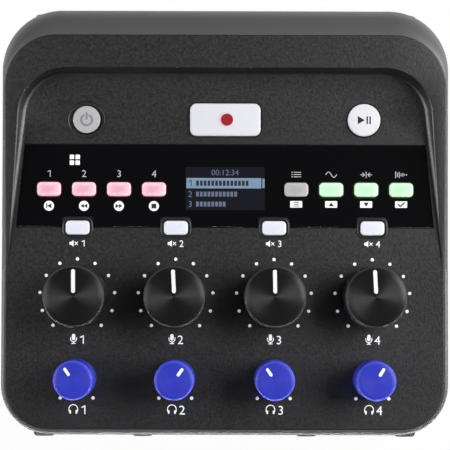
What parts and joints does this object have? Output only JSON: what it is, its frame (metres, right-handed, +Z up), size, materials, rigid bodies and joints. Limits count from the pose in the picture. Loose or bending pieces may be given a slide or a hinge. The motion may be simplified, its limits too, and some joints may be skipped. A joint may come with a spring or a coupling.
{
  "type": "podcast recorder",
  "caption": "Desktop podcast recorder: wedge case, microphone and headphone level knobs, lit keys, small display, rear microphone inputs, front headphone jacks.",
  "frame": {"origin": "centre of the footprint, on the plane that the feet rest on", "axes": "+X to the right as the user sees it, +Y to the rear, +Z up"},
  "size_m": [0.1252, 0.1164, 0.0446],
  "materials": {
    "cover_plastic": "fine textured black",
    "case_plastic": "smooth satin black",
    "knob_black": "satin black, spun top",
    "knob_blue": "satin blue",
    "key_white": "milky, backlit",
    "key_grey": "light grey",
    "key_pink": "milky, lit red",
    "key_green": "milky, lit green",
    "window_gloss": "high gloss black",
    "screen_glass": "dark display",
    "circuit_board": "green solder mask",
    "pot_metal": "plain metal",
    "jack_plastic": "black",
    "plated_steel": "plated",
    "cell_wrap": "grey wrap",
    "foot_rubber": "matt black"
  },
  "bodies": {
    "case": {"battery_1": "cell_wrap", "battery_2": "cell_wrap", "battery_contact_left": "plated_steel", "battery_contact_right": "plated_steel", "case_screw_1": "plated_steel", "case_screw_2": "plated_steel", "case_screw_3": "plated_steel", "case_screw_4": "plated_steel", "display_module": "screen_glass", "foot_front": "foot_rubber", "foot_rear": "foot_rubber", "io_board": "circuit_board", "lower_case": "case_plastic", "mic_pot_1": "pot_metal", "mic_pot_2": "pot_metal", "mic_pot_3": "pot_metal", "mic_pot_4": "pot_metal", "panel_board": "circuit_board", "phones_jack_1": "jack_plastic", "phones_jack_2": "jack_plastic", "phones_jack_3": "jack_plastic", "phones_jack_4": "jack_plastic", "phones_pot_1": "pot_metal", "phones_pot_2": "pot_metal", "phones_pot_3": "pot_metal", "phones_pot_4": "pot_metal", "side_jack_1": "jack_plastic", "side_jack_2": "jack_plastic", "top_cover": "cover_plastic", "usb_port": "plated_steel", "window_panel": "window_gloss", "xlr_jack_1": "jack_plastic", "xlr_jack_2": "jack_plastic", "xlr_jack_3": "jack_plastic", "xlr_jack_4": "jack_plastic"},
    "power_button": {"power_button": "key_grey"},
    "record_button": {"record_button": "key_white"},
    "play_button": {"play_button": "key_white"},
    "sound_pad_1": {"sound_pad_1": "key_pink"},
    "menu_button": {"menu_button": "key_grey"},
    "mute_button_1": {"mute_button_1": "key_white"},
    "sound_pad_2": {"sound_pad_2": "key_pink"},
    "function_button_1": {"function_button_1": "key_green"},
    "mute_button_2": {"mute_button_2": "key_white"},
    "sound_pad_3": {"sound_pad_3": "key_pink"},
    "function_button_2": {"function_button_2": "key_green"},
    "mute_button_3": {"mute_button_3": "key_white"},
    "sound_pad_4": {"sound_pad_4": "key_pink"},
    "function_button_3": {"function_button_3": "key_green"},
    "mute_button_4": {"mute_button_4": "key_white"},
    "mic_knob_1": {"mic_knob_1": "knob_black"},
    "phones_knob_1": {"phones_knob_1": "knob_blue"},
    "mic_knob_2": {"mic_knob_2": "knob_black"},
    "phones_knob_2": {"phones_knob_2": "knob_blue"},
    "mic_knob_3": {"mic_knob_3": "knob_black"},
    "phones_knob_3": {"phones_knob_3": "knob_blue"},
    "mic_knob_4": {"mic_knob_4": "knob_black"},
    "phones_knob_4": {"phones_knob_4": "knob_blue"},
    "battery_cover": {"battery_cover": "case_plastic"},
    "memory_card": {"memory_card": "jack_plastic"}
  },
  "joints": [
    {"name": "power_button_press", "type": "slide", "parent": "case", "child": "power_button", "axis": [0, 0.1045, -0.9945], "range_m": [0, 0.0004], "stiffness_N_per_m": 800},
    {"name": "record_button_press", "type": "slide", "parent": "case", "child": "record_button", "axis": [0, 0.1045, -0.9945], "range_m": [0, 0.0005], "stiffness_N_per_m": 800},
    {"name": "play_button_press", "type": "slide", "parent": "case", "child": "play_button", "axis": [0, 0.1045, -0.9945], "range_m": [0, 0.0005], "stiffness_N_per_m": 800},
    {"name": "sound_pad_1_press", "type": "slide", "parent": "case", "child": "sound_pad_1", "axis": [0, 0.1045, -0.9945], "range_m": [0, 0.0004], "stiffness_N_per_m": 800},
    {"name": "menu_button_press", "type": "slide", "parent": "case", "child": "menu_button", "axis": [0, 0.1045, -0.9945], "range_m": [0, 0.0004], "stiffness_N_per_m": 800},
    {"name": "mute_button_1_press", "type": "slide", "parent": "case", "child": "mute_button_1", "axis": [0, 0.1045, -0.9945], "range_m": [0, 0.0004], "stiffness_N_per_m": 800},
    {"name": "sound_pad_2_press", "type": "slide", "parent": "case", "child": "sound_pad_2", "axis": [0, 0.1045, -0.9945], "range_m": [0, 0.0004], "stiffness_N_per_m": 800},
    {"name": "function_button_1_press", "type": "slide", "parent": "case", "child": "function_button_1", "axis": [0, 0.1045, -0.9945], "range_m": [0, 0.0004], "stiffness_N_per_m": 800},
    {"name": "mute_button_2_press", "type": "slide", "parent": "case", "child": "mute_button_2", "axis": [0, 0.1045, -0.9945], "range_m": [0, 0.0004], "stiffness_N_per_m": 800},
    {"name": "sound_pad_3_press", "type": "slide", "parent": "case", "child": "sound_pad_3", "axis": [0, 0.1045, -0.9945], "range_m": [0, 0.0004], "stiffness_N_per_m": 800},
    {"name": "function_button_2_press", "type": "slide", "parent": "case", "child": "function_button_2", "axis": [0, 0.1045, -0.9945], "range_m": [0, 0.0004], "stiffness_N_per_m": 800},
    {"name": "mute_button_3_press", "type": "slide", "parent": "case", "child": "mute_button_3", "axis": [0, 0.1045, -0.9945], "range_m": [0, 0.0004], "stiffness_N_per_m": 800},
    {"name": "sound_pad_4_press", "type": "slide", "parent": "case", "child": "sound_pad_4", "axis": [0, 0.1045, -0.9945], "range_m": [0, 0.0004], "stiffness_N_per_m": 800},
    {"name": "function_button_3_press", "type": "slide", "parent": "case", "child": "function_button_3", "axis": [0, 0.1045, -0.9945], "range_m": [0, 0.0004], "stiffness_N_per_m": 800},
    {"name": "mute_button_4_press", "type": "slide", "parent": "case", "child": "mute_button_4", "axis": [0, 0.1045, -0.9945], "range_m": [0, 0.0004], "stiffness_N_per_m": 800},
    {"name": "mic_knob_1_turn", "type": "hinge", "parent": "case", "child": "mic_knob_1", "pos_m": [-0.0405, -0.0207, 0.02979], "axis": [0, -0.1045, 0.9945], "range_deg": [-140.5, 139.5]},
    {"name": "phones_knob_1_turn", "type": "hinge", "parent": "case", "child": "phones_knob_1", "pos_m": [-0.0405, -0.04298, 0.02745], "axis": [0, -0.1045, 0.9945], "range_deg": [-175, 105]},
    {"name": "mic_knob_2_turn", "type": "hinge", "parent": "case", "child": "mic_knob_2", "pos_m": [-0.0135, -0.0207, 0.02979], "axis": [0, -0.1045, 0.9945], "range_deg": [-143, 137]},
    {"name": "phones_knob_2_turn", "type": "hinge", "parent": "case", "child": "phones_knob_2", "pos_m": [-0.0135, -0.04298, 0.02745], "axis": [0, -0.1045, 0.9945], "range_deg": [-104, 176]},
    {"name": "mic_knob_3_turn", "type": "hinge", "parent": "case", "child": "mic_knob_3", "pos_m": [0.0135, -0.0207, 0.02979], "axis": [0, -0.1045, 0.9945], "range_deg": [-141, 139]},
    {"name": "phones_knob_3_turn", "type": "hinge", "parent": "case", "child": "phones_knob_3", "pos_m": [0.0135, -0.04298, 0.02745], "axis": [0, -0.1045, 0.9945], "range_deg": [-174, 106]},
    {"name": "mic_knob_4_turn", "type": "hinge", "parent": "case", "child": "mic_knob_4", "pos_m": [0.0405, -0.0207, 0.02979], "axis": [0, -0.1045, 0.9945], "range_deg": [-143, 137]},
    {"name": "phones_knob_4_turn", "type": "hinge", "parent": "case", "child": "phones_knob_4", "pos_m": [0.0405, -0.04298, 0.02745], "axis": [0, -0.1045, 0.9945], "range_deg": [-108, 172]},
    {"name": "battery_cover_swing", "type": "hinge", "parent": "case", "child": "battery_cover", "pos_m": [0, -0.0055, 0.0015], "axis": [-1, 0, 0], "range_deg": [0, 75]},
    {"name": "memory_card_draw", "type": "slide", "parent": "case", "child": "memory_card", "axis": [-1, 0, 0], "range_m": [0, 0.012]}
  ]
}
